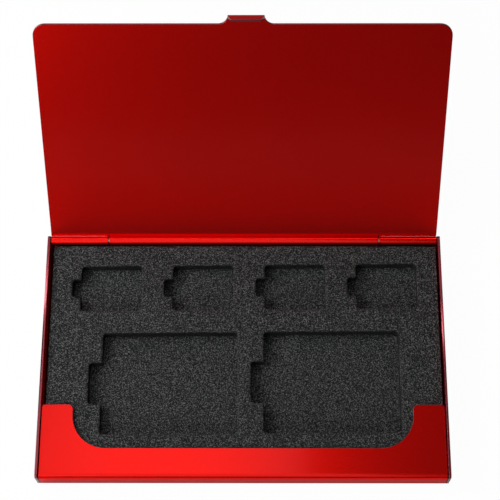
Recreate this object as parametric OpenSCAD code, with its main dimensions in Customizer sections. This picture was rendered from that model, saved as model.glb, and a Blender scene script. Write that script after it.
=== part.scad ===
// Pocket-sized memory card case: a folded aluminium sheet tray and lid on a rolled hinge,
// with a two-layer foam insert that holds two large and four small memory cards.
// Origin: centre of the tray's underside. +X runs along the hinge, +Y points to the hinge, +Z is up.
// The lid is drawn open, leaning on the upper edge of the tray's rear wall.

/* [Tray] */
// Outer width of the tray, along the hinge
tray_w = 94; // [86:0.5:110]
// Depth of the tray, from the front wall to the back of the hinge barrel
tray_d = 59; // [57:0.5:75]
// Height of the side walls
tray_h = 6.6; // [6.2:0.1:9]
// Thickness of the aluminium sheet
sheet_t = 0.6; // [0.4:0.05:0.7]
// Outer radius of the bends between the floor and the walls
floor_bend_r = 1.0; // [0.8:0.05:1.4]
// Radius of the top front corner of each side wall
wall_corner_r = 0.8; // [0.2:0.1:1.5]

/* [Front lip] */
// Outer radius of the fold between the front wall and the lip
lip_bend_r = 1.2; // [0.9:0.05:1.6]
// Depth of the lip along its straight middle, from the front wall's face
lip_d = 7.0; // [4:0.1:9]
// Depth of the horns at both ends of the lip
horn_d = 17.2; // [14:0.1:22]
// Width of each horn at its tip
horn_w = 7.2; // [4:0.1:10]
// Radius of the sweep from a horn to the straight edge
sweep_r = 7.7; // [3:0.1:8.5]
// Radius of a horn's inner corner
horn_inner_r = 1.2; // [0.4:0.1:1.8]
// Radius of a horn's outer corner
horn_outer_r = 0.7; // [0.3:0.1:1.5]
// Gap between the lip's ends and the side walls
lip_side_gap = 0.15; // [0.1:0.05:0.3]

/* [Hinge] */
// Outer radius of the rolled barrel
barrel_r = 1.1; // [1.0:0.05:1.6]
// Length of each end knuckle, which is rolled from the tray
end_knuckle_w = 13.6; // [8:0.1:20]
// Gap between neighbouring knuckles
knuckle_gap = 0.25; // [0.15:0.05:0.5]
// Gap between an end knuckle and the side wall
knuckle_side_gap = 0.3; // [0.2:0.05:0.6]
// Gap between a knuckle's rolled end and the sheet that it starts from
roll_gap = 0.09; // [0.05:0.01:0.2]
// Radial running gap between the pin and the barrel's bore
pin_gap = 0.05; // [0.02:0.01:0.1]
// Gap between the lid's knuckle and the rear wall behind it
rear_wall_gap = 0.1; // [0.1:0.05:0.3]
// Gap left between the open lid and the edge that it leans on
stop_gap = 0.03; // [0.02:0.01:0.1]
// Angle that the lid opens, from closed
open_angle = 124.4; // [110:0.1:130]

/* [Lid] */
// Gap between the lid and each side wall
lid_side_gap = 0.2; // [0.1:0.05:0.4]
// Gap between the closed lid and the lip under it
lid_lip_gap = 0.1; // [0.05:0.05:0.3]
// How far the closed lid's front edge lies behind the front wall's face
lid_setback = 1.3; // [0.8:0.1:1.6]
// Radius of the lid's front corners
lid_corner_r = 2.8; // [1:0.1:5]
// Clearance between the lid's cut-outs and the end knuckles
cutout_gap = 0.1; // [0.1:0.05:0.5]

/* [Thumb tab] */
// Width of the tab where it bends down
tab_w = 8.1; // [6:0.1:14]
// How far the middle of the tab lies to the right of the lid's middle
tab_offset = 0.8; // [0:0.1:2]
// Radius of the hollow flanks that join the tab to the lid
tab_flank_r = 2.1; // [1:0.1:2.6]
// Outer radius of the tab's bend
tab_bend_r = 1.0; // [0.8:0.1:1.4]
// Gap between the closed tab and the front wall
tab_wall_gap = 0.4; // [0.2:0.05:0.6]
// How far the tab hangs below the lid's inner face
tab_drop = 2.4; // [1.5:0.1:3]
// Width that the tab loses on each side towards its lower edge
tab_taper = 0.7; // [0.2:0.1:1.5]

/* [Foam insert] */
// Gap between the foam and the left side wall
foam_left_gap = 0.8; // [0.3:0.1:1.5]
// Gap between the foam and the right side wall
foam_right_gap = 0.3; // [0.3:0.1:1.5]
// Gap between the foam and the front wall
foam_front_gap = 0.4; // [0.3:0.1:1.5]
// Gap between the foam and the hinge barrel
foam_hinge_gap = 0.15; // [0.1:0.05:0.5]
// Gap between the foam and the lip over it
foam_lip_gap = 0.1; // [0.1:0.05:0.5]
// Thickness of the adhesive film under the foam
film_t = 0.2; // [0.1:0.05:0.3]
// How far the film's edge lies inside the foam's edge
film_inset = 3; // [1:0.5:6]
// Depth of the card pockets, which is the thickness of the die-cut layer
pocket_depth = 2.8; // [2.2:0.1:3.2]

/* [Large card pockets] */
// Number of large pockets, for cards of 32 by 24 mm
large_count = 2; // [1:1:2]
// Width of a large pocket
large_w = 31.6; // [31:0.1:33]
// Height of a large pocket, front to back
large_h = 24.3; // [23.5:0.1:25]
// Width of the rib of foam between neighbouring large pockets
large_rib = 3.1; // [2.5:0.1:6]
// Width of a large pocket's thumb notch
large_notch_w = 3.0; // [1.5:0.1:4]
// Height of a large pocket's thumb notch
large_notch_h = 10; // [6:0.1:14]
// Distance from the tray's middle to the middle of the large row, towards the front
large_row_y = 6.7; // [6.2:0.1:7.5]

/* [Small card pockets] */
// Number of small pockets, for cards of 15 by 11 mm
small_count = 4; // [1:1:4]
// Width of a small pocket
small_w = 14.4; // [14:0.1:15.5]
// Height of a small pocket, front to back
small_h = 11.2; // [10.5:0.1:11.6]
// Width of the ribs of foam between neighbouring small pockets
small_rib = 5.3; // [3.5:0.1:6]
// Width of a small pocket's thumb notch
small_notch_w = 2.1; // [1:0.1:3]
// Height of a small pocket's thumb notch
small_notch_h = 4.6; // [3:0.1:8]
// Distance from the tray's middle to the middle of the small row, towards the hinge
small_row_y = 16.7; // [16.2:0.1:18]
// Radius of the pockets' corners
pocket_corner_r = 0.6; // [0.3:0.1:1.2]

/* [Hidden] */
$fn = 96;

aluminium = [0.78, 0.06, 0.05];
steel = [0.75, 0.75, 0.77];
foam = [0.20, 0.20, 0.21];
foam_under = [0.15, 0.15, 0.16];
film = [0.93, 0.93, 0.88];

// Overlap that makes neighbouring stretches of one sheet a single solid
weld = 0.5;
// Turn by which a rolled ring overlaps the sheet that it starts from
roll_weld_angle = 4;
// Longer than the wedge that opens a rolled ring has to reach
reach = 200;

inner_w = tray_w - 2 * sheet_t;
front_y = -tray_d / 2;
barrel_rear_y = tray_d / 2;

// The flat part of the floor ends where its bends start
floor_x = tray_w / 2 - floor_bend_r;
floor_y = tray_d / 2 - floor_bend_r;

// The hinge axis. The barrel's top is level with the rims of the side walls.
axis_y = barrel_rear_y - barrel_r;
axis_z = tray_h - barrel_r;
bore_r = barrel_r - sheet_t;
pin_r = bore_r - pin_gap;
// Angle that the sheet wraps round the pin before its end meets the roll gap
roll_angle = 360 - acos((bore_r - roll_gap) / barrel_r);

end_knuckle_x = inner_w / 2 - knuckle_side_gap;
knuckle_split_x = end_knuckle_x - end_knuckle_w;
mid_knuckle_x = knuckle_split_x - knuckle_gap;

// The rear wall between the end knuckles stands behind the barrel, clear of the lid's knuckle.
stop_y = barrel_r + rear_wall_gap;
rear_wall_y = axis_y + stop_y + sheet_t;
// Its height brings its inner edge to the outer face of the open lid.
rear_wall_h = axis_z + (barrel_r + stop_gap - stop_y * sin(open_angle)) / cos(open_angle);

lid_under_z = tray_h - sheet_t;
lip_top_z = lid_under_z - lid_lip_gap;
lip_x = inner_w / 2 - lip_side_gap;
lip_edge_y = front_y + lip_d;
horn_tip_y = front_y + horn_d;
horn_inner_x = lip_x - horn_w;

lid_x = inner_w / 2 - lid_side_gap;
lid_front_y = front_y + lid_setback;
cutout_y = axis_y - sqrt(pow(barrel_r + cutout_gap, 2) - pow(bore_r, 2));
tab_face_y = front_y - tab_wall_gap - sheet_t;
tab_tip_z = lid_under_z - tab_drop;

foam_left_x = -inner_w / 2 + foam_left_gap;
foam_right_x = inner_w / 2 - foam_right_gap;
foam_mid_x = (foam_left_x + foam_right_x) / 2;
foam_front_y = front_y + sheet_t + foam_front_gap;
foam_rear_y = axis_y - barrel_r - foam_hinge_gap;
foam_bottom_z = sheet_t + film_t;
foam_top_z = lip_top_z - sheet_t - foam_lip_gap;
pocket_floor_z = foam_top_z - pocket_depth;
large_pitch = large_w + large_notch_w + large_rib;
small_pitch = small_w + small_notch_w + small_rib;

// Flat shapes

// A rectangle from one corner to the other
module span(x0, y0, x1, y1) {
    translate([x0, y0]) square([x1 - x0, y1 - y0]);
}

// A quarter of a bend in the sheet: the part of the ring in the quadrant that qx and qy point to
module bend(centre_x, centre_y, r, qx, qy) {
    translate([centre_x, centre_y]) intersection() {
        difference() {
            circle(r);
            circle(r - sheet_t);
        }
        quadrant(qx * r, qy * r);
    }
}

// A rectangle with one corner at the origin, which may reach to the negative side
module quadrant(w, h) {
    span(min(0, w), min(0, h), max(0, w), max(0, h));
}

// A rectangle whose four corners are rounded alike
module rounded_span(x0, y0, x1, y1, r) {
    span(x0 + r, y0, x1 - r, y1);
    span(x0, y0 + r, x1, y1 - r);
    for (x = [x0 + r, x1 - r], y = [y0 + r, y1 - r])
        translate([x, y]) circle(r);
}

// What a rounded corner takes off: the corner at (x, y), whose material lies towards (qx, qy)
module corner_cut(x, y, r, qx, qy) {
    translate([x, y]) difference() {
        translate([-qx * weld, -qy * weld]) quadrant(qx * (r + weld), qy * (r + weld));
        translate([qx * r, qy * r]) circle(r);
    }
}

// A rolled knuckle seen from its end: the ring starts at the rear and wraps over the top
module rolled_ring() {
    difference() {
        circle(barrel_r);
        circle(bore_r);
        polygon([
            [0, 0],
            [reach * cos(roll_weld_angle), -reach * sin(roll_weld_angle)],
            [reach, -reach],
            [reach * cos(roll_angle), reach * sin(roll_angle)]
        ]);
    }
}

// Extrusions: a profile drawn in Y and Z is carried along X, or one drawn in X and Z along Y
module along_x(x0, x1) {
    translate([x0, 0, 0]) rotate([90, 0, 90]) linear_extrude(x1 - x0) children();
}

module along_y(y0, y1) {
    translate([0, y1, 0]) rotate([90, 0, 0]) linear_extrude(y1 - y0) children();
}

module upright(z0, z1) {
    translate([0, 0, z0]) linear_extrude(z1 - z0) children();
}

// Tray

// The side wall seen from the side: round at the hinge, where it follows the barrel
module side_outline() {
    difference() {
        span(front_y, 0, barrel_rear_y, tray_h);
        corner_cut(front_y, tray_h, wall_corner_r, 1, -1);
        corner_cut(front_y, 0, floor_bend_r, 1, 1);
        corner_cut(barrel_rear_y, tray_h, barrel_r, -1, -1);
        corner_cut(barrel_rear_y, 0, floor_bend_r, -1, 1);
    }
}

// Both side walls with their bends, seen from the front
module side_sections() {
    for (side = [-1, 1]) {
        bend(side * floor_x, floor_bend_r, floor_bend_r, side, -1);
        translate([side * (tray_w - sheet_t) / 2 - sheet_t / 2, floor_bend_r])
            square([sheet_t, tray_h - floor_bend_r]);
    }
}

// The floor with its side bends, seen from the front
module floor_section() {
    span(-floor_x, 0, floor_x, sheet_t);
    for (side = [-1, 1])
        bend(side * floor_x, floor_bend_r, floor_bend_r, side, -1);
}

// A bend from the floor up into a wall whose outer face stands at wall_y, seen from the side
module wall_bend_section(wall_y) {
    span(floor_y - weld, 0, wall_y - floor_bend_r, sheet_t);
    bend(wall_y - floor_bend_r, floor_bend_r, floor_bend_r, 1, -1);
    span(wall_y - sheet_t, floor_bend_r, wall_y, floor_bend_r + weld);
}

// The front wall and the lip folded back from it, seen from the side
module front_section() {
    span(front_y, floor_bend_r, front_y + sheet_t, lip_top_z - lip_bend_r);
    bend(front_y + lip_bend_r, lip_top_z - lip_bend_r, lip_bend_r, -1, 1);
    span(front_y + lip_bend_r, lip_top_z - sheet_t, horn_tip_y, lip_top_z);
}

// The opening that the lip leaves, seen from above: a straight edge between two swept corners
module lip_window() {
    difference() {
        span(-horn_inner_x, lip_edge_y, horn_inner_x, horn_tip_y + weld);
        for (side = [-1, 1]) difference() {
            corner_x = side * horn_inner_x;
            span(
                min(corner_x, corner_x - side * sweep_r), lip_edge_y,
                max(corner_x, corner_x - side * sweep_r), lip_edge_y + sweep_r
            );
            translate([corner_x - side * sweep_r, lip_edge_y + sweep_r]) circle(sweep_r);
        }
    }
    for (side = [-1, 1]) {
        corner_cut(side * horn_inner_x, horn_tip_y, horn_inner_r, side, -1);
        corner_cut(side * lip_x, horn_tip_y, horn_outer_r, -side, -1);
    }
}

// An end knuckle with the stretch of rear wall that it is rolled from, seen from the side
module end_knuckle_section() {
    span(barrel_rear_y - sheet_t, floor_bend_r, barrel_rear_y, axis_z);
    translate([axis_y, axis_z]) rolled_ring();
}

// The rear wall between the end knuckles, seen from the side
module rear_wall_section() {
    wall_bend_section(rear_wall_y);
    span(rear_wall_y - sheet_t, floor_bend_r, rear_wall_y, rear_wall_h);
}

// The step in the rear wall beside each end knuckle, seen from the side
module wall_step_section() {
    difference() {
        span(barrel_rear_y - sheet_t, 0, rear_wall_y, rear_wall_h);
        corner_cut(rear_wall_y, 0, floor_bend_r, -1, 1);
    }
}

// The stretch of rear wall that closes each rear corner of the tray, seen from the side
module rear_corner_section() {
    intersection() {
        side_outline();
        span(barrel_rear_y - sheet_t, sheet_t, barrel_rear_y, axis_z);
    }
}

module base_tray() {
    color(aluminium) union() {
        along_y(-floor_y, floor_y) floor_section();
        intersection() {
            along_y(front_y, barrel_rear_y) side_sections();
            along_x(-tray_w / 2, tray_w / 2) side_outline();
        }
        along_x(-floor_x, floor_x) mirror([1, 0]) wall_bend_section(tray_d / 2);
        difference() {
            along_x(-lip_x, lip_x) front_section();
            upright(lip_top_z - lip_bend_r, tray_h) lip_window();
        }
        for (side = [0, 1]) mirror([side, 0, 0]) {
            along_x(knuckle_split_x, floor_x) wall_bend_section(tray_d / 2);
            along_x(knuckle_split_x, end_knuckle_x) end_knuckle_section();
            along_x(knuckle_split_x, knuckle_split_x + sheet_t) wall_step_section();
            along_x(floor_x, (tray_w - sheet_t) / 2) rear_corner_section();
        }
        along_x(-knuckle_split_x, knuckle_split_x) rear_wall_section();
    }
}

// Lid, drawn closed and then swung open

// The lid's sheet seen from above, with cut-outs beside its knuckle for the tray's knuckles
module lid_outline() {
    difference() {
        union() {
            span(-lid_x, lid_front_y, lid_x, cutout_y);
            span(-mid_knuckle_x, cutout_y - weld, mid_knuckle_x, axis_y);
        }
        for (side = [-1, 1])
            corner_cut(side * lid_x, lid_front_y, lid_corner_r, -side, 1);
    }
}

// The tab seen from above: its flanks sweep out into the lid's front edge
module tab_outline() {
    root_y = lid_front_y;
    translate([tab_offset, 0]) {
        span(-tab_w / 2, tab_face_y, tab_w / 2, root_y + weld);
        for (side = [-1, 1]) difference() {
            flank_x = side * tab_w / 2;
            span(
                min(flank_x, flank_x + side * tab_flank_r), root_y - tab_flank_r,
                max(flank_x, flank_x + side * tab_flank_r), root_y + weld
            );
            translate([flank_x + side * tab_flank_r, root_y - tab_flank_r]) circle(tab_flank_r);
        }
    }
}

// The tab seen from the side: it runs past the front wall and bends down
module tab_section() {
    span(tab_face_y + tab_bend_r, lid_under_z, lid_front_y + weld, tray_h);
    bend(tab_face_y + tab_bend_r, tray_h - tab_bend_r, tab_bend_r, -1, 1);
    span(tab_face_y, tab_tip_z, tab_face_y + sheet_t, tray_h - tab_bend_r);
}

// The tab seen from the front: it narrows towards its lower edge
module tab_front() {
    bend_z = tray_h - tab_bend_r;
    half = tab_w / 2;
    flare = half + tab_flank_r;
    translate([tab_offset, 0]) polygon([
        [-half + tab_taper, tab_tip_z],
        [half - tab_taper, tab_tip_z],
        [half, bend_z],
        [flare, bend_z],
        [flare, tray_h],
        [-flare, tray_h],
        [-flare, bend_z],
        [-half, bend_z]
    ]);
}

module lid_closed() {
    upright(lid_under_z, tray_h) lid_outline();
    along_x(-mid_knuckle_x, mid_knuckle_x)
        translate([axis_y, axis_z]) rotate(90) mirror([0, 1]) rolled_ring();
    intersection() {
        along_x(tab_offset - tab_w, tab_offset + tab_w) tab_section();
        upright(tab_tip_z, tray_h) tab_outline();
        along_y(tab_face_y, lid_front_y + weld) tab_front();
    }
}

module lid() {
    color(aluminium)
        translate([0, axis_y, axis_z]) rotate([-open_angle, 0, 0]) translate([0, -axis_y, -axis_z])
            lid_closed();
}

// Hinge pin: a straight steel wire through all three knuckles
module hinge_pin() {
    color(steel)
        translate([-end_knuckle_x, axis_y, axis_z]) rotate([0, 90, 0])
            cylinder(r = pin_r, h = 2 * end_knuckle_x);
}

// Foam insert

// One pocket round its own middle. Its thumb notch runs into it from the left.
module pocket(w, h, notch_w, notch_h) {
    r = pocket_corner_r;
    rounded_span(-w / 2, -h / 2, w / 2, h / 2, r);
    rounded_span(-w / 2 - notch_w, -notch_h / 2, -w / 2 + 2 * r, notch_h / 2, r);
}

// A row of pockets, centred with its notches on the foam
module pocket_row(count, pitch, y, w, h, notch_w, notch_h) {
    for (i = [0 : count - 1])
        translate([foam_mid_x + notch_w / 2 + (i - (count - 1) / 2) * pitch, y])
            pocket(w, h, notch_w, notch_h);
}

module foam_top_layer() {
    color(foam) upright(pocket_floor_z, foam_top_z) difference() {
        span(foam_left_x, foam_front_y, foam_right_x, foam_rear_y);
        pocket_row(small_count, small_pitch, small_row_y, small_w, small_h, small_notch_w, small_notch_h);
        pocket_row(large_count, large_pitch, -large_row_y, large_w, large_h, large_notch_w, large_notch_h);
    }
}

module foam_bottom_layer() {
    color(foam_under) upright(foam_bottom_z, pocket_floor_z)
        span(foam_left_x, foam_front_y, foam_right_x, foam_rear_y);
}

module foam_adhesive_film() {
    color(film) upright(sheet_t, foam_bottom_z)
        span(
            foam_left_x + film_inset, foam_front_y + film_inset,
            foam_right_x - film_inset, foam_rear_y - film_inset
        );
}

base_tray();
lid();
hinge_pin();
foam_top_layer();
foam_bottom_layer();
foam_adhesive_film();
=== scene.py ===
"""Memory card case: the looks of its folded sheet, its hinge wire and its foam insert."""

import math

import bmesh
import bpy
import numpy as np
from bpy.props import FloatProperty, FloatVectorProperty, IntProperty, PointerProperty
from mathutils import Matrix, Vector
from mathutils.bvhtree import BVHTree


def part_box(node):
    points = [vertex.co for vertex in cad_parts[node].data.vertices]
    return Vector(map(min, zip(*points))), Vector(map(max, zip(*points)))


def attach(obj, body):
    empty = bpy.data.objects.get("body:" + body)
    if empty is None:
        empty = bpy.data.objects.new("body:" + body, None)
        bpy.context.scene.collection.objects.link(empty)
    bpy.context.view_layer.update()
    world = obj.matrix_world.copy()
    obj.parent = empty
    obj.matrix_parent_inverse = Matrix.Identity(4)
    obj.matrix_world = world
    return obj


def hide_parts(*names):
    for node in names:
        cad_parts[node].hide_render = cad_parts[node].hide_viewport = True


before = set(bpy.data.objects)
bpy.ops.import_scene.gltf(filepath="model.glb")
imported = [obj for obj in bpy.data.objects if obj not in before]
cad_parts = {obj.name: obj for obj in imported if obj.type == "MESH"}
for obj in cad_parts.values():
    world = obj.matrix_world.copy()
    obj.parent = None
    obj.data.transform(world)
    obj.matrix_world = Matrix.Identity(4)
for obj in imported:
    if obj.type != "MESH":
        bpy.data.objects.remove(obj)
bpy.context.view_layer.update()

bl_info = {
    "name": "Memory card case",
    "version": (1, 0, 0),
    "blender": (4, 5, 0),
    "location": "3D View > Sidebar > Card Case",
    "description": "Dresses a hinged aluminium memory card case and its die-cut foam insert",
    "category": "Object",
}

MM = 0.001
WHITE = (1, 1, 1)
# Corners of the frame's triangles that lie this close are one corner
WELD_DISTANCE = 0.01 * MM
# Neighbouring triangles that turn less than this are one flat face
FLAT_ANGLE = math.radians(0.5)
# Faces that turn more than this meet in an edge that tumbling eases
SHARP_ANGLE = math.radians(40)
# A face is a cut edge where the metal behind it is deeper than this many sheets
EDGE_SHEETS = 1.2
# Out where the lid's cut-outs are, only their edges lie between these distances from the hinge pin's axis
CUT_OUT_NEAR = 1.15 * MM
CUT_OUT_FAR = 1.6 * MM
# The knuckles and the bends that lead into them lie within this distance of the axis
KNUCKLE_REACH = 2.5 * MM


def linear(hex_colour):
    """An sRGB hex colour as linear red, green and blue."""
    srgb = np.array([int(hex_colour[i : i + 2], 16) for i in (1, 3, 5)]) / 255
    low = srgb / 12.92
    high = ((srgb + 0.055) / 1.055) ** 2.4
    return tuple(float(v) for v in np.where(srgb <= 0.04045, low, high))


def colour_property(name, description, hex_colour):
    return FloatVectorProperty(
        name=name, description=description, subtype="COLOR", size=3, min=0, max=1, default=linear(hex_colour)
    )


def length_property(name, description, millimetres):
    return FloatProperty(
        name=name,
        description=description,
        subtype="DISTANCE",
        unit="LENGTH",
        precision=5,
        default=millimetres * MM,
    )


def number_property(name, description, value):
    return FloatProperty(name=name, description=description, default=value, min=0)


def count_property(name, description, most):
    return IntProperty(name=name, description=description, default=most, min=1, max=most)


class SheetSettings(bpy.types.PropertyGroup):
    """Folded sheet of the tray and the lid"""

    thickness: length_property("Thickness", "Thickness of the aluminium sheet", 0.6)
    easing: length_property("Edge easing", "Radius that tumbling leaves on the sheared edges", 0.07)
    cut_out_start: length_property("Cut-out start", "From the middle of the lid to its cut-outs", 32)
    closed_clearance: length_property("Closed clearance", "How far the cut-outs are brought nearer", 0.08)
    colour: colour_property("Dye", "Colour of the dyed oxide layer", "#E10D04")
    deep_colour: colour_property("Deep dye", "Colour where the oxide took more dye", "#D90B04")
    edge_colour: colour_property("Cut edge", "Colour of the sheared edges, where the dye is thin", "#8A3C44")
    deep_edge_colour: colour_property("Dyed cut edge", "Colour where a sheared edge took the dye", "#5C1018")
    roughness: number_property("Roughness", "Roughness of the etched sheet", 0.25)


class FoamSettings(bpy.types.PropertyGroup):
    """Foam insert and its pockets"""

    step: length_property("Mesh step", "Longest side of a face of the die-cut layer", 0.3)
    corner: length_property("Corner radius", "Radius of the pockets' corners", 0.85)
    large_width: length_property("Large width", "Width of a large pocket", 31.6)
    large_height: length_property("Large height", "Height of a large pocket, front to back", 24.3)
    large_notch_width: length_property("Large notch width", "Width of a large pocket's thumb notch", 3.0)
    large_notch_height: length_property("Large notch height", "Height of a large pocket's thumb notch", 10)
    large_pitch: length_property("Large pitch", "Distance between the large pockets", 37.7)
    large_row: length_property("Large row", "Place of the large pockets' row along Y", -6.7)
    small_width: length_property("Small width", "Width of a small pocket", 14.4)
    small_height: length_property("Small height", "Height of a small pocket, front to back", 11.2)
    small_notch_width: length_property("Small notch width", "Width of a small pocket's thumb notch", 2.1)
    small_notch_height: length_property("Small notch height", "Height of a small pocket's thumb notch", 4.6)
    small_pitch: length_property("Small pitch", "Distance between neighbouring small pockets", 21.8)
    small_row: length_property("Small row", "Place of the small pockets' row along Y", 16.7)
    large_count: count_property("Large pockets", "Number of large pockets", 2)
    small_count: count_property("Small pockets", "Number of small pockets", 4)
    tilt: FloatProperty(
        name="Row tilt",
        description="Turn of the pocket rows against the tray",
        subtype="ANGLE",
        default=math.radians(0.55),
    )
    grain: length_property("Grain", "Size of the lumps that the cut cells leave", 0.8)
    relief: length_property("Relief", "How far the cut cells stand out of the surface", 0.045)
    roll_over: length_property("Roll-over", "How far the die pressed the pockets' edges down", 0.16)
    # Painted shade: darkens the colours of the pockets' walls and the foam's sides, standing in for the shade
    # that falls there
    painted_wall_shade: number_property("Wall shade", "Brightness of the cut walls, with 1 as the top's", 0.35)
    colour: colour_property("Foam", "Colour of the foam's cell walls", "#181A1A")
    pit_colour: colour_property("Pits", "Colour in the open cells", "#040405")
    speck_colour: colour_property("Specks", "Colour of the cell walls that catch light", "#626363")


class StageSettings(bpy.types.PropertyGroup):
    """Floor, light and camera"""

    floor_colour: colour_property("Floor", "Colour of the floor", "#D4D4D4")
    seen_glow: number_property("Glow seen", "Share of the floor that glows for the camera", 0.97)
    mirrored_glow: number_property("Glow mirrored", "Share of the floor that glows for mirrors", 0.12)
    room_level: number_property("Room", "Brightness of the room round the table", 0.15)
    key_level: number_property("Overhead", "Brightness of the softbox overhead", 1.55)
    left_level: number_property("Left", "Brightness of the small lamp on the left", 13.5)
    corner_level: number_property("Front left", "Brightness of the softbox at the front left", 7.2)
    card_level: number_property("Card", "Brightness of the low card in front", 0.25)
    front_level: number_property("Front", "Brightness of the low softbox in front", 0.85)
    high_level: number_property("High front", "Brightness of the high softbox in front", 1)
    rear_level: number_property("Rear", "Brightness of the softbox behind the case", 2.6)
    lens: number_property("Lens", "Focal length on a 36 mm sensor, in mm", 104.4)


class CardCaseSettings(bpy.types.PropertyGroup):
    """Everything that a user would change"""

    sheet: PointerProperty(type=SheetSettings)
    foam: PointerProperty(type=FoamSettings)
    stage: PointerProperty(type=StageSettings)


# Materials

# A Mix node has these sockets for colours, which share their names with those for numbers
MIX_A = 6
MIX_B = 7
MIX_RESULT = 2


def add_node(tree, kind, inputs=None, **settings):
    """Adds a node, sets its settings, and fills its inputs with values or with links from sockets."""
    node = tree.nodes.new(kind)
    for name, value in settings.items():
        setattr(node, name, value)
    for name, value in (inputs or {}).items():
        if isinstance(value, bpy.types.NodeSocket):
            tree.links.new(value, node.inputs[name])
        else:
            node.inputs[name].default_value = value
    return node


def new_material(name):
    """An empty material, its tree and the coordinates of the object that wears it."""
    material = bpy.data.materials.new(name)
    material.use_nodes = True
    tree = material.node_tree
    tree.nodes.clear()
    place = add_node(tree, "ShaderNodeTexCoord").outputs["Object"]
    return material, tree, place


def opaque(colour, shade=1):
    """A colour, made darker by its shade, with the fourth number that a socket wants."""
    return (*(shade * part for part in colour), 1)


def noise(tree, place, scale, detail):
    """Cloudy noise, with its scale in lumps per metre."""
    texture = add_node(tree, "ShaderNodeTexNoise", {"Vector": place, "Scale": scale, "Detail": detail})
    return texture.outputs["Fac"]


def blend(tree, factor, first, second):
    """The first colour where the factor is 0 and the second where it is 1."""
    mix = add_node(tree, "ShaderNodeMix", {"Factor": factor, MIX_A: first, MIX_B: second}, data_type="RGBA")
    return mix.outputs[MIX_RESULT]


def remap(tree, value, source, target=(0, 1)):
    """A value moved from one range to another and held within it."""
    ends = {"From Min": source[0], "From Max": source[1], "To Min": target[0], "To Max": target[1]}
    return add_node(tree, "ShaderNodeMapRange", {"Value": value, **ends}).outputs["Result"]


def calculate(tree, operation, *values):
    """The result of a sum, product or the like of numbers and sockets."""
    return add_node(tree, "ShaderNodeMath", dict(enumerate(values)), operation=operation).outputs["Value"]


def bump(tree, height, strength, depth, **under):
    """Normals tilted by a height that spans the depth, on top of the Normal under it if one is given."""
    inputs = {"Height": height, "Strength": strength, "Distance": depth, **under}
    return add_node(tree, "ShaderNodeBump", inputs).outputs["Normal"]


def show(tree, kind, inputs):
    """Adds a shader and makes it the material's surface."""
    shader = add_node(tree, kind, inputs)
    add_node(tree, "ShaderNodeOutputMaterial", {"Surface": shader.outputs[0]})


def anodised_aluminium(settings):
    """Anodised aluminium: rolled sheet, etched satin and dyed red through its oxide layer.

    The dyed oxide tints the metal's reflection, and its clear skin adds a faint white one.
    The etch leaves a fine grain that blurs reflections, and the rolled sheet isn't dead flat.
    """
    material, tree, place = new_material("anodised_aluminium_red")
    # Dye takes unevenly over patches of this size
    patch = 25 * MM
    dye = blend(tree, noise(tree, place, 1 / patch, 2), opaque(settings.colour), opaque(settings.deep_colour))
    # The etch's grain is some 0.05 mm, and it is drawn larger so that it shows
    grain = 0.25 * MM
    grain_depth = 0.02 * MM
    roughness_spread = 0.012
    etch = noise(tree, place, 1 / grain, 3)
    roughest = settings.roughness + roughness_spread
    smoothest = settings.roughness - roughness_spread
    etched = bump(tree, etch, 0.03, grain_depth)
    # The sheet waves by a few hundredths of a millimetre, every 36 mm
    waves_per_metre = 28
    wave_depth = 0.05 * MM
    wave = noise(tree, place, waves_per_metre, 1)
    show(
        tree,
        "ShaderNodeBsdfPrincipled",
        {
            "Base Color": dye,
            "Metallic": 1,
            "Roughness": remap(tree, etch, (0.3, 0.7), (smoothest, roughest)),
            "Normal": bump(tree, wave, 1, wave_depth, Normal=etched),
            "Specular Tint": opaque((0.8, 0.3, 0.3)),
            "Coat Weight": 0.2,
            "Coat Roughness": 0.1,
            "Coat IOR": 1.5,
        },
    )
    return material


def sheared_edge(settings):
    """Anodised aluminium on the sheared edges of the sheet.

    Shearing tears the metal, so the dye is thin there and the edge looks pinker than the faces.
    """
    material, tree, place = new_material("anodised_aluminium_sheared_edge")
    # Shear marks are this far apart
    pitch = 0.2 * MM
    mark_depth = 0.03 * MM
    marks = noise(tree, place, 1 / pitch, 2)
    show(
        tree,
        "ShaderNodeBsdfPrincipled",
        {
            "Base Color": blend(tree, marks, opaque(settings.edge_colour), opaque(settings.deep_edge_colour)),
            "Metallic": 1,
            "Roughness": remap(tree, marks, (0, 1), (0.25, 0.45)),
            "Normal": bump(tree, marks, 0.2, mark_depth),
            "Coat Weight": 0.3,
            "Coat Roughness": 0.2,
            "Coat IOR": 1.6,
        },
    )
    return material


def drawn_steel_wire():
    """Stainless steel wire, drawn through a die: fine scratches run along it."""
    material, tree, place = new_material("drawn_stainless_wire")
    # X is the wire's own direction. It is stretched, so scratches are 0.07 mm wide and 50 times as long.
    scratches_per_metre = 15000
    stretch = (0.02, 1, 1)
    along = add_node(tree, "ShaderNodeMapping", {"Vector": place, "Scale": stretch}).outputs["Vector"]
    scratches = noise(tree, along, scratches_per_metre, 2)
    show(
        tree,
        "ShaderNodeBsdfPrincipled",
        {
            "Base Color": blend(tree, scratches, opaque(linear("#B9B7B3")), opaque(linear("#9C9A97"))),
            "Metallic": 1,
            "Roughness": remap(tree, scratches, (0, 1), (0.22, 0.4)),
        },
    )
    return material


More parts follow.
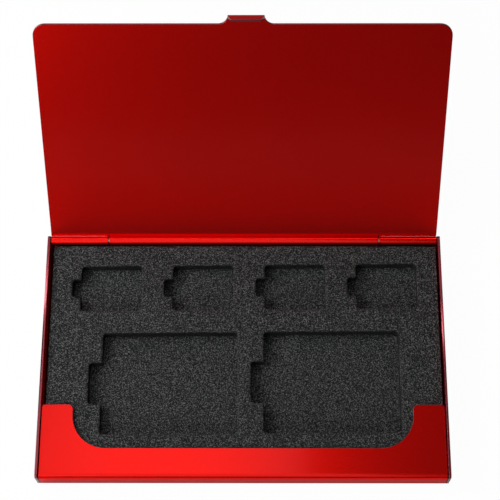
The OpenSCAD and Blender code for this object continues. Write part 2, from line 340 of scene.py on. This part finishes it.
def cell_foam(settings, name, shade):
    """Cross-linked polyethylene foam, split from a block, so every face shows cut cells.

    The open cells are dark pits and their walls are lighter lines, so the foam looks speckled and quite matt.
    """
    material, tree, place = new_material(name)
    cell = 0.45 * MM
    # Cell walls that were torn instead of cut stand out about this far apart
    torn_pitch = 0.24 * MM
    relief_depth = 0.12 * MM
    cell_inputs = {"Vector": place, "Scale": 1 / cell, "Randomness": 1}
    cells = add_node(tree, "ShaderNodeTexVoronoi", cell_inputs).outputs["Distance"]
    torn = noise(tree, place, 1 / torn_pitch, 2)
    wall = remap(tree, cells, (0.1, 0.75))
    speck = remap(tree, torn, (0.5, 0.72))
    # A shade below 1 darkens all the foam's colours, which paints shade on the walls
    cut = blend(tree, wall, opaque(settings.pit_colour, shade), opaque(settings.colour, shade))
    show(
        tree,
        "ShaderNodeBsdfPrincipled",
        {
            "Base Color": blend(tree, speck, cut, opaque(settings.speck_colour, shade)),
            "Roughness": 0.85,
            "Specular IOR Level": 0.12,
            "Normal": bump(tree, calculate(tree, "ADD", cells, torn), 0.7, relief_depth),
        },
    )
    return material


def tape_film():
    """Double-sided tape: clear polyester film with acrylic adhesive, milky where it isn't pressed on."""
    material, tree, place = new_material("double_sided_tape")
    # Adhesive pools over patches of about 3 mm
    pools_per_metre = 330
    pools = noise(tree, place, pools_per_metre, 2)
    colour = blend(tree, pools, opaque(linear("#E6E3D4")), opaque(linear("#CFCBB8")))
    show(tree, "ShaderNodeBsdfPrincipled", {"Base Color": colour, "Roughness": 0.35})
    return material


def studio_floor(settings):
    """Matt white paper. A share of it glows for the camera, which keeps it white and its shadows soft, and a
    smaller share for mirrors."""
    material, tree, place = new_material("white_paper_floor")
    fibres_per_metre = 900
    fibre_shade = 0.97
    fibres = noise(tree, place, fibres_per_metre, 2)
    tint = blend(tree, fibres, opaque(settings.floor_colour), opaque(settings.floor_colour, fibre_shade))
    paper = add_node(tree, "ShaderNodeBsdfDiffuse", {"Color": tint}).outputs["BSDF"]
    glow = add_node(tree, "ShaderNodeEmission", {"Color": opaque(WHITE), "Strength": 1}).outputs["Emission"]
    ray = add_node(tree, "ShaderNodeLightPath").outputs
    mirrored = calculate(tree, "MAXIMUM", ray["Is Glossy Ray"], ray["Is Transmission Ray"])
    mirrored_share = calculate(tree, "MULTIPLY", mirrored, settings.mirrored_glow)
    share = calculate(tree, "MULTIPLY_ADD", ray["Is Camera Ray"], settings.seen_glow, mirrored_share)
    show(tree, "ShaderNodeMixShader", {0: share, 1: paper, 2: glow})
    return material


# Shapes


def mesh_object(name, points, faces, materials, finish=0):
    """An object at the origin made of these points and faces. Finish numbers the material of each face."""
    mesh = bpy.data.meshes.new(name)
    mesh.from_pydata(points.tolist(), [], faces.tolist())
    mesh.polygons.foreach_set("use_smooth", np.ones(len(mesh.polygons), bool))
    mesh.polygons.foreach_set("material_index", np.broadcast_to(finish, len(faces)).astype(np.int32))
    for material in materials:
        mesh.materials.append(material)
    mesh.update()
    piece = bpy.data.objects.new(name, mesh)
    bpy.context.scene.collection.objects.link(piece)
    return piece


def sheet_skin(node, thickness):
    """A CAD node's triangles merged into one skin, with the second material on the sheet's cut edges."""
    skin = bmesh.new()
    skin.from_mesh(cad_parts[node].data)
    bmesh.ops.remove_doubles(skin, verts=skin.verts, dist=WELD_DISTANCE)
    metal = BVHTree.FromBMesh(skin)
    for face in skin.faces:
        inwards = -face.normal
        start = face.calc_center_median() + inwards * WELD_DISTANCE
        depth = metal.ray_cast(start, inwards)[3] or 0
        face.material_index = int(depth > EDGE_SHEETS * thickness)
        face.smooth = True
    bmesh.ops.dissolve_limit(
        skin, angle_limit=FLAT_ANGLE, verts=skin.verts, edges=skin.edges, delimit={"MATERIAL"}
    )
    return skin


def reach(point):
    """The way from the hinge pin's axis to a point of the sheet, square to the axis."""
    low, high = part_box("hinge_pin")
    pin = (low + high) / 2
    return Vector((0, point.co.y - pin.y, point.co.z - pin.z))


def close_cut_outs(skin, settings):
    """Brings the lid's cut-outs nearer to the knuckles, because the floor shows through the clearance."""
    for point in skin.verts:
        arm = reach(point)
        if abs(point.co.x) > settings.cut_out_start and CUT_OUT_NEAR < arm.length < CUT_OUT_FAR:
            point.co -= arm.normalized() * settings.closed_clearance


def weigh_sharp_edges(skin):
    """Marks the sharp outer edges for easing and keeps the others sharp: those that run into a sharp inner
    corner, and those of the rolled knuckles, whose narrow gaps would look wider."""
    weight = skin.edges.layers.float.new("bevel_weight_edge")
    sharp = [edge for edge in skin.edges if edge.calc_face_angle() > SHARP_ANGLE]
    inner_corners = {point for edge in sharp if not edge.is_convex for point in edge.verts}
    for edge in sharp:
        is_knuckle = min(reach(point).length for point in edge.verts) < KNUCKLE_REACH
        is_eased = edge.is_convex and inner_corners.isdisjoint(edge.verts) and not is_knuckle
        edge[weight] = float(is_eased)
        edge.smooth = is_eased


def eased_sheet(node, name, materials, settings):
    """A folded sheet with the CAD node's shape, whose sharp edges are rounded by the easing."""
    skin = sheet_skin(node, settings.thickness)
    if node == "lid":
        close_cut_outs(skin, settings)
    weigh_sharp_edges(skin)
    mesh = bpy.data.meshes.new(name)
    skin.to_mesh(mesh)
    skin.free()
    for material in materials:
        mesh.materials.append(material)
    piece = bpy.data.objects.new(name, mesh)
    bpy.context.scene.collection.objects.link(piece)
    rounding = piece.modifiers.new("Eased edges", "BEVEL")
    rounding.width = settings.easing
    rounding.segments = 2
    rounding.limit_method = "WEIGHT"
    rounding.use_clamp_overlap = False
    rounding.material = 1
    shading = piece.modifiers.new("Flat faces", "WEIGHTED_NORMAL")
    shading.weight = 80
    shading.keep_sharp = True
    return piece


def grid_lines(low, high, stops, step):
    """Grid lines from low to high through every stop, with each stretch between stops divided evenly."""
    stops = np.unique(np.round(np.concatenate([[low, high], stops]), 8))
    stretches = [
        np.linspace(start, end, max(2, math.ceil((end - start) / step) + 1))
        for start, end in zip(stops[:-1], stops[1:])
    ]
    return np.unique(np.round(np.concatenate(stretches), 8))


def lumps(points, size, seed):
    """Smooth random relief, mostly between -1 and 1: a sum of plane waves with random directions, phases and
    lengths from 0.7 to 2 times the size."""
    wave_count = 28
    chance = np.random.default_rng(seed)
    directions = chance.normal(size=(wave_count, 3))
    directions /= np.linalg.norm(directions, axis=1)[:, None]
    waves = directions * (2 * math.pi / (size * chance.uniform(0.7, 2.0, (wave_count, 1))))
    phases = chance.uniform(0, 2 * math.pi, wave_count)
    return np.cos(points @ waves.T + phases).sum(axis=1) / math.sqrt(wave_count * 2)


def pocket_boxes(settings, middle):
    """The pockets as boxes (left, front, right, rear) and their notches in the same form."""
    bodies = []
    notches = []
    names = ("count", "pitch", "row", "width", "height", "notch_width", "notch_height")
    for size in ("large", "small"):
        count, pitch, y, width, height, notch_width, notch_height = (
            getattr(settings, f"{size}_{name}") for name in names
        )
        for i in range(count):
            x = middle + notch_width / 2 + (i - (count - 1) / 2) * pitch
            left = x - width / 2
            bodies.append((left, y - height / 2, x + width / 2, y + height / 2))
            notches.append((left - notch_width, y - notch_height / 2, left, y + notch_height / 2))
    return np.array(bodies), np.array(notches)


def gap_to(boxes, x, y):
    """Distance from each point to the nearest box, and below zero inside one."""
    nearest = np.full(np.shape(x), np.inf)
    for left, front, right, rear in boxes:
        across = np.abs(x - (left + right) / 2) - (right - left) / 2
        along = np.abs(y - (front + rear) / 2) - (rear - front) / 2
        outside = np.hypot(np.maximum(across, 0), np.maximum(along, 0))
        nearest = np.minimum(nearest, outside + np.minimum(np.maximum(across, along), 0))
    return nearest


def round_corner(x, y, corner, inwards, radius):
    """Moves grid points so that the right angle at corner becomes an arc: the square of side radius at the
    corner goes to a quarter disc by x * sqrt(1 - y^2 / 2), and the shift fades out beyond it."""
    fade_radii = 1.5
    centre = corner + inwards * radius
    a = -inwards[0] * (x - centre[0]) / radius
    b = -inwards[1] * (y - centre[1]) / radius
    square_a = np.clip(a, 0, 1)
    square_b = np.clip(b, 0, 1)
    fade = np.clip(1 - (np.maximum(a, b) - 1) / fade_radii, 0, 1)
    shift_a = fade * (square_a * np.sqrt(1 - square_b**2 / 2) - square_a)
    shift_b = fade * (square_b * np.sqrt(1 - square_a**2 / 2) - square_b)
    return x - inwards[0] * radius * shift_a, y - inwards[1] * radius * shift_b


def round_pockets(x, y, bodies, notches, radius):
    """Moves grid points so that the pockets' corners and the notches' left corners are round."""
    for left, front, right, rear in bodies:
        for corner, inwards in (
            ((left, front), (1, 1)),
            ((right, front), (-1, 1)),
            ((left, rear), (1, -1)),
            ((right, rear), (-1, -1)),
        ):
            x, y = round_corner(x, y, np.array(corner), np.array(inwards), radius)
    for left, front, right, rear in notches:
        for corner, inwards in (((left, front), (1, 1)), ((left, rear), (1, -1))):
            x, y = round_corner(x, y, np.array(corner), np.array(inwards), radius)
    return x, y


def wall_edges(number, kept):
    """The edges between kept and missing cells as pairs of point numbers, with the foam on their left."""
    framed = np.pad(kept, 1)
    front, rear = framed[1:-1, :-1], framed[1:-1, 1:]
    left, right = framed[:-1, 1:-1], framed[1:, 1:-1]
    runs = (
        (number[:-1, :], number[1:, :], rear & ~front),
        (number[1:, :], number[:-1, :], ~rear & front),
        (number[:, 1:], number[:, :-1], right & ~left),
        (number[:, :-1], number[:, 1:], ~right & left),
    )
    return np.concatenate([np.stack([start, end], -1)[is_wall] for start, end, is_wall in runs])


def turn_rows(points, low, high, angle):
    """Shears the pocket rows by an angle, less and less over the foam's outer few millimetres."""
    side_fade = 6 * MM
    end_fade = 4 * MM
    inner = np.clip(np.minimum(points[:, 0] - low[0], high[0] - points[:, 0]) / side_fade, 0, 1)
    inner *= np.clip(np.minimum(points[:, 1] - low[1], high[1] - points[:, 1]) / end_fade, 0, 1)
    points[:, 1] += inner * math.tan(angle) * points[:, 0]


def foam_layer(name, low, high, bodies, notches, settings, step, rows, materials):
    """A sheet of foam with pockets cut through it.

    Top and underside are one grid whose lines pass through every pocket edge, less the cells in a pocket.
    Walls join them: each edge between a kept and a missing cell goes down in even rows. Walls have the second
    material. The pockets' corners are rounded and their top edges rolled over, and then the foam's lumps move
    all points.
    """
    # The flat grid lies this far inside the box, so that the lumps stay in it
    highest_lump = 1.6
    margin = highest_lump * settings.relief
    boxes = np.concatenate([bodies, notches])
    xs = grid_lines(low[0] + margin, high[0] - margin, boxes[:, [0, 2]].ravel(), step)
    ys = grid_lines(low[1] + margin, high[1] - margin, boxes[:, [1, 3]].ravel(), step)
    nx, ny = len(xs), len(ys)
    grid_x, grid_y = np.meshgrid(xs, ys, indexing="ij")
    middle_x, middle_y = np.meshgrid((xs[1:] + xs[:-1]) / 2, (ys[1:] + ys[:-1]) / 2, indexing="ij")
    kept = gap_to(boxes, middle_x, middle_y) > 0

    number = np.arange(nx * ny).reshape(nx, ny)
    cells = np.stack([number[:-1, :-1], number[1:, :-1], number[1:, 1:], number[:-1, 1:]], axis=-1)[kept]
    edges = wall_edges(number, kept)

    edge_gap = np.abs(gap_to(boxes, grid_x.ravel(), grid_y.ravel()))
    flat_x, flat_y = round_pockets(grid_x.ravel(), grid_y.ravel(), bodies, notches, settings.corner)
    # The die's pull on the top fades out over about twice its depth
    roll_width = 2.2 * settings.roll_over
    top_z = high[2] - margin - settings.roll_over * np.exp(-((edge_gap / roll_width) ** 2))
    rim = np.unique(edges)
    place_on_rim = np.full(nx * ny, -1)
    place_on_rim[rim] = np.arange(len(rim))
    levels = [np.column_stack([flat_x, flat_y, top_z])]
    for row in range(1, rows):
        share = row / rows
        z = top_z[rim] * (1 - share) + low[2] * share
        levels.append(np.column_stack([flat_x[rim], flat_y[rim], z]))
    levels.append(np.column_stack([flat_x, flat_y, np.full(nx * ny, low[2])]))
    points = np.concatenate(levels)
    underside = nx * ny + (rows - 1) * len(rim)

    def ring(row, corner):
        """Point numbers of the wall's corners at a row: the first and last rows are the two grids' own."""
        if row == 0:
            return corner
        if row == rows:
            return corner + underside
        return place_on_rim[corner] + nx * ny + (row - 1) * len(rim)

    faces = [cells, cells[:, ::-1] + underside]
    start, end = edges[:, 0], edges[:, 1]
    for row in range(rows):
        corners = (ring(row + 1, start), ring(row + 1, end), ring(row, end), ring(row, start))
        faces.append(np.stack(corners, -1))
    faces = np.concatenate(faces)
    is_wall = np.arange(len(faces)) >= 2 * len(cells)

    kept_points = np.unique(faces)
    renumber = np.full(len(points), -1)
    renumber[kept_points] = np.arange(len(kept_points))
    points = points[kept_points]
    faces = renumber[faces]

    height = np.clip((points[:, 2] - low[2]) / (high[2] - low[2]), 0, 1)
    relief = np.column_stack([lumps(points, settings.grain, seed) for seed in (1, 2, 3)]) * settings.relief
    relief[:, 2] *= height
    points = points + relief
    if len(boxes):
        turn_rows(points, low, high, settings.tilt)
    points = np.clip(points, np.array(low), np.array(high))
    return mesh_object(name, points, faces, materials, is_wall)


# Operators


class CARD_CASE_OT_sheet(bpy.types.Operator):
    """Makes the folded tray and the lid with eased edges and their anodised finish"""

    bl_idname = "card_case.sheet"
    bl_label = "Tray and lid"

    def execute(self, context):
        settings = context.scene.card_case.sheet
        materials = [anodised_aluminium(settings), sheared_edge(settings)]
        for node, name, body in (("base_tray", "folded_tray", "tray"), ("lid", "folded_lid", "lid")):
            piece = eased_sheet(node, name, materials, settings)
            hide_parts(node)
            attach(piece, body)
        return {"FINISHED"}


class CARD_CASE_OT_wire(bpy.types.Operator):
    """Gives the hinge wire its drawn steel finish"""

    bl_idname = "card_case.wire"
    bl_label = "Hinge wire"

    def execute(self, context):
        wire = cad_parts["hinge_pin"]
        wire.data.materials.clear()
        wire.data.materials.append(drawn_steel_wire())
        return {"FINISHED"}


class CARD_CASE_OT_foam(bpy.types.Operator):
    """Makes both layers of the foam insert with their cut cells and pockets"""

    bl_idname = "card_case.foam"
    bl_label = "Foam insert"

    def execute(self, context):
        settings = context.scene.card_case.foam
        split_face = cell_foam(settings, "polyethylene_foam_split_face", 1)
        # The walls' colours are darkened by the wall shade: painted shade on the pockets' walls and the
        # foam's sides, where shade falls
        painted_shade_walls = cell_foam(settings, "polyethylene_foam_wall_painted_shade", settings.painted_wall_shade)
        materials = [split_face, painted_shade_walls]
        low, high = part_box("foam_top_layer")
        pockets = pocket_boxes(settings, (low.x + high.x) / 2)
        no_pockets = (np.empty((0, 4)), np.empty((0, 4)))
        # Name, node, slot, pockets, longest side of a face and number of rows down the walls. The bottom
        # layer shows only through the pockets, so its mesh is coarser.
        layers = (
            ("die_cut_foam", "foam_top_layer", "foam_top", pockets, settings.step, 9),
            ("base_foam", "foam_bottom_layer", "foam_bottom", no_pockets, 2 * settings.step, 4),
        )
        for name, node, slot, (bodies, notches), step, rows in layers:
            low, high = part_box(node)
            piece = foam_layer(name, low, high, bodies, notches, settings, step, rows, materials)
            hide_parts(node)
            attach(piece, "tray")
        return {"FINISHED"}


class CARD_CASE_OT_film(bpy.types.Operator):
    """Gives the adhesive film under the foam its finish"""

    bl_idname = "card_case.film"
    bl_label = "Adhesive film"

    def execute(self, context):
        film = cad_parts["foam_adhesive_film"]
        film.data.materials.clear()
        film.data.materials.append(tape_film())
        return {"FINISHED"}


def softbox(name, place, aim, width, depth, level):
    """An area lamp at a place, turned to its aim, that looks as bright as its level, with 1 as white."""
    lamp = bpy.data.lights.new(name, "AREA")
    lamp.shape = "RECTANGLE"
    lamp.size = width
    lamp.size_y = depth
    lamp.energy = level * math.pi * width * depth
    holder = bpy.data.objects.new(name, lamp)
    direction = Vector(aim) - Vector(place)
    holder.matrix_world = Matrix.Translation(place) @ direction.to_track_quat("-Z", "Y").to_matrix().to_4x4()
    bpy.context.scene.collection.objects.link(holder)


class CARD_CASE_OT_stage(bpy.types.Operator):
    """Sets the floor, the softboxes, the room and the camera"""

    bl_idname = "card_case.stage"
    bl_label = "Stage"

    def execute(self, context):
        settings = context.scene.card_case.stage
        half_side = 0.8
        corners = np.array([[-1, -1, 0], [1, -1, 0], [1, 1, 0], [-1, 1, 0]]) * half_side
        floor = mesh_object("floor", corners, np.array([[0, 1, 2, 3]]), [studio_floor(settings)])

        # Name, place, aim, width and depth in metres, and brightness
        lamps = (
            ("overhead_softbox", (-0.05, 0.08, 0.5), (-0.05, 0.08, 0), 0.16, 0.16, settings.key_level),
            ("left_lamp", (-0.2, 0.04, 0.19), (0, 0, 0), 0.12, 0.12, settings.left_level),
            ("front_left_softbox", (-0.35, -0.5, 0.3), (0, 0, 0), 0.3, 0.3, settings.corner_level),
            ("front_softbox", (-0.12, -0.48, 0.44), (0, 0, 0), 0.5, 0.34, settings.front_level),
            ("front_card", (0, -0.7, 0.075), (0, 0, 0.02), 1.2, 0.04, settings.card_level),
            ("high_front_softbox", (-0.08, -0.18, 0.5), (-0.08, -0.18, 0), 0.3, 0.36, settings.high_level),
            ("rear_softbox", (0, 0.4, 0.5), (0, 0, 0), 0.5, 0.2, settings.rear_level),
        )
        for lamp in lamps:
            softbox(*lamp)

        world = bpy.data.worlds.new("studio_room")
        world.use_nodes = True
        world.node_tree.nodes.clear()
        room_inputs = {"Color": opaque(WHITE), "Strength": settings.room_level}
        room = add_node(world.node_tree, "ShaderNodeBackground", room_inputs)
        add_node(world.node_tree, "ShaderNodeOutputWorld", {"Surface": room.outputs["Background"]})
        context.scene.world = world

        lens = bpy.data.cameras.new("photo_camera")
        lens.sensor_width = 36
        lens.lens = settings.lens
        lens.clip_start = 0.01
        lens.clip_end = 10
        camera = bpy.data.objects.new("photo_camera", lens)
        # Fitted to the photo's outlines, in millimetres
        place = Vector((3.294, -101.354, 328.923)) * MM
        aim = Vector((1.499, 26.594, 4.0)) * MM
        roll = math.radians(-0.73)
        turn = (aim - place).to_track_quat("-Z", "Y").to_matrix().to_4x4() @ Matrix.Rotation(roll, 4, "Z")
        camera.matrix_world = Matrix.Translation(place) @ turn
        context.scene.collection.objects.link(camera)
        context.scene.camera = camera
        context.scene.view_settings.view_transform = "Standard"
        return {"FINISHED"}


class CARD_CASE_PT_panel(bpy.types.Panel):
    """Lists the steps and the settings"""

    bl_idname = "CARD_CASE_PT_panel"
    bl_label = "Memory card case"
    bl_space_type = "VIEW_3D"
    bl_region_type = "UI"
    bl_category = "Card Case"

    def draw(self, context):
        layout = self.layout
        for operator in OPERATORS:
            layout.operator(operator.bl_idname)
        settings = context.scene.card_case
        for group in (settings.sheet, settings.foam, settings.stage):
            box = layout.box()
            for name in group.__annotations__:
                box.prop(group, name)


OPERATORS = (
    CARD_CASE_OT_sheet,
    CARD_CASE_OT_wire,
    CARD_CASE_OT_foam,
    CARD_CASE_OT_film,
    CARD_CASE_OT_stage,
)
CLASSES = (SheetSettings, FoamSettings, StageSettings, CardCaseSettings, *OPERATORS, CARD_CASE_PT_panel)


def register():
    for item in CLASSES:
        bpy.utils.register_class(item)
    bpy.types.Scene.card_case = PointerProperty(type=CardCaseSettings)


def unregister():
    del bpy.types.Scene.card_case
    for item in reversed(CLASSES):
        bpy.utils.unregister_class(item)


def main():
    register()
    bpy.ops.card_case.sheet()
    bpy.ops.card_case.wire()
    bpy.ops.card_case.foam()
    bpy.ops.card_case.film()
    bpy.ops.card_case.stage()


if __name__ == "__main__":
    main()
